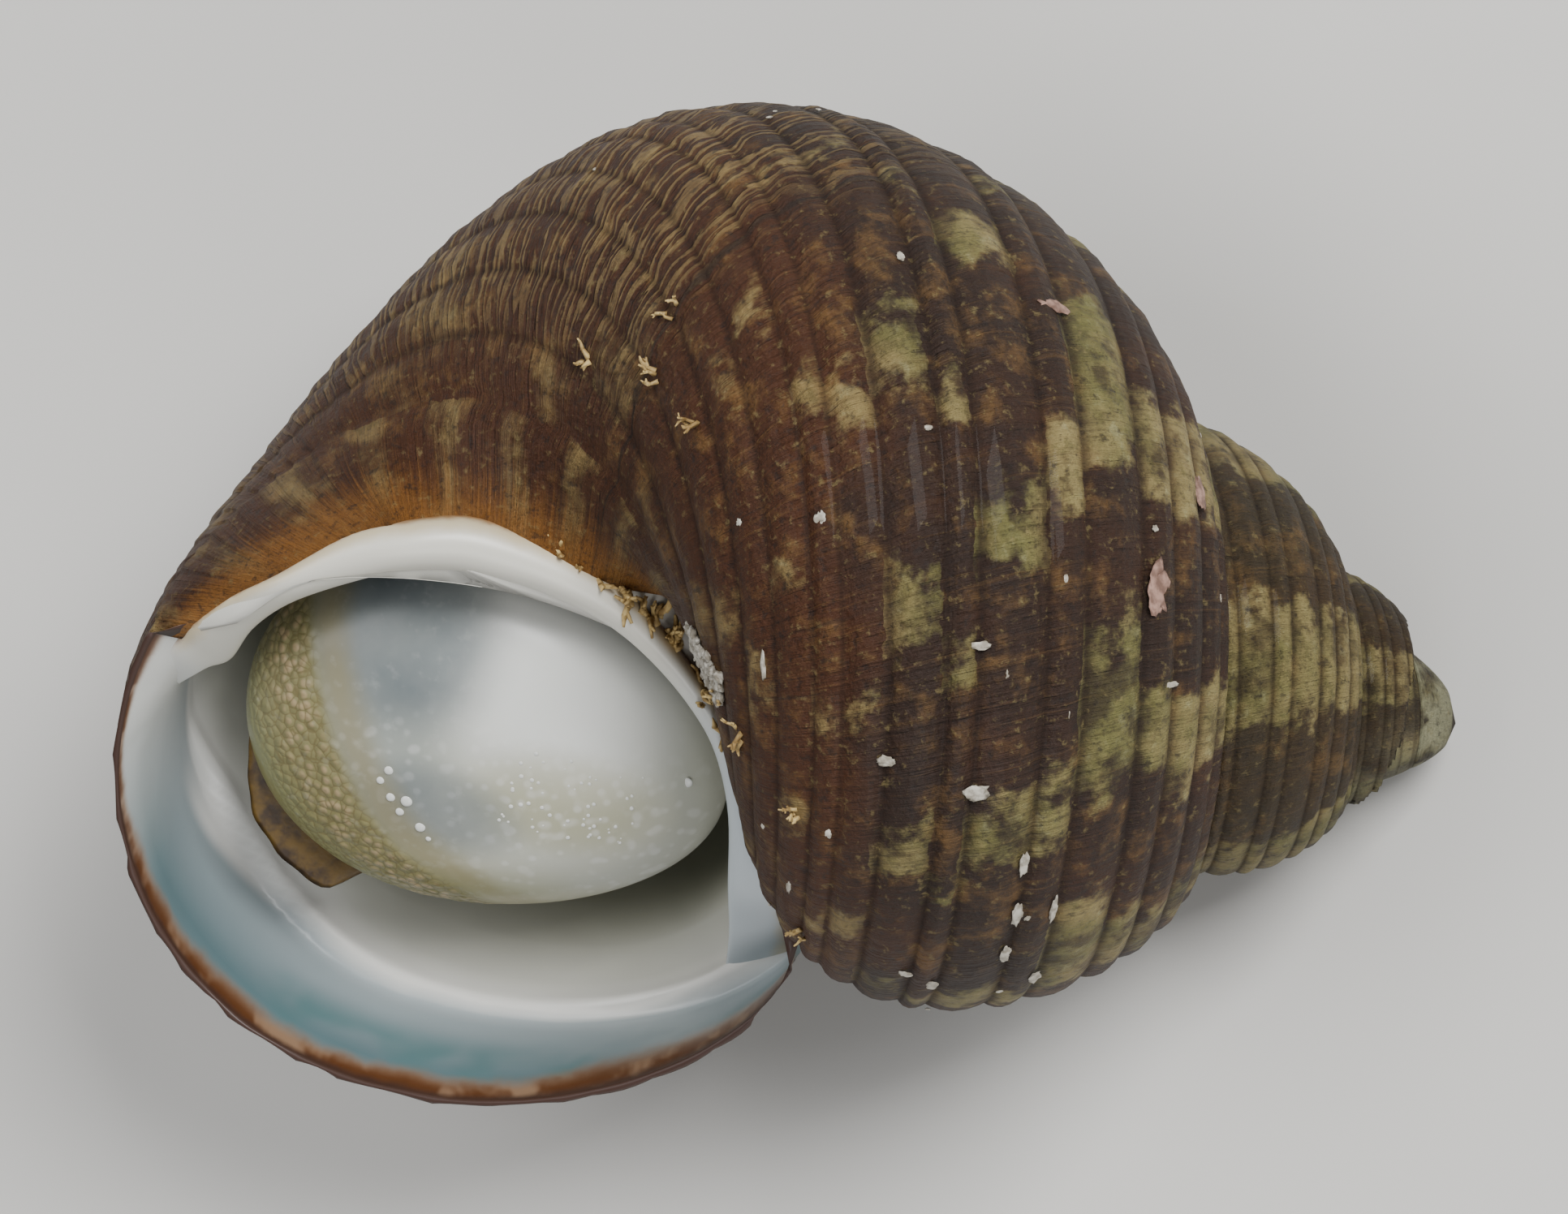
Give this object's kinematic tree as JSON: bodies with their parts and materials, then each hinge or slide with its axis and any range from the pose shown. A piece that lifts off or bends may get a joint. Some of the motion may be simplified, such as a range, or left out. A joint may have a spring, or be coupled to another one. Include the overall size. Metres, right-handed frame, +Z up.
{
  "type": "turban shell",
  "caption": "Right-handed spiral sea snail shell lying mouth up, with broad spiral cords, a thin flared lip, a pearly mouth and a domed limy operculum resting in it.",
  "frame": {"origin": "middle of the bounding box, at the height of the surface on which the shell lies", "axes": "+X along the length towards the tip of the spire, +Y towards the columella side of the mouth, +Z up out of the mouth"},
  "size_m": [0.0384, 0.031, 0.024],
  "materials": {
    "shell": "satin brown with cream and olive blocks along the cords, and pearly white inside the mouth",
    "operculum": "glossy grey-white dome with an olive and tan pebbled edge"
  },
  "bodies": {
    "root": {"shell": "shell", "operculum": "operculum"}
  },
  "joints": []
}
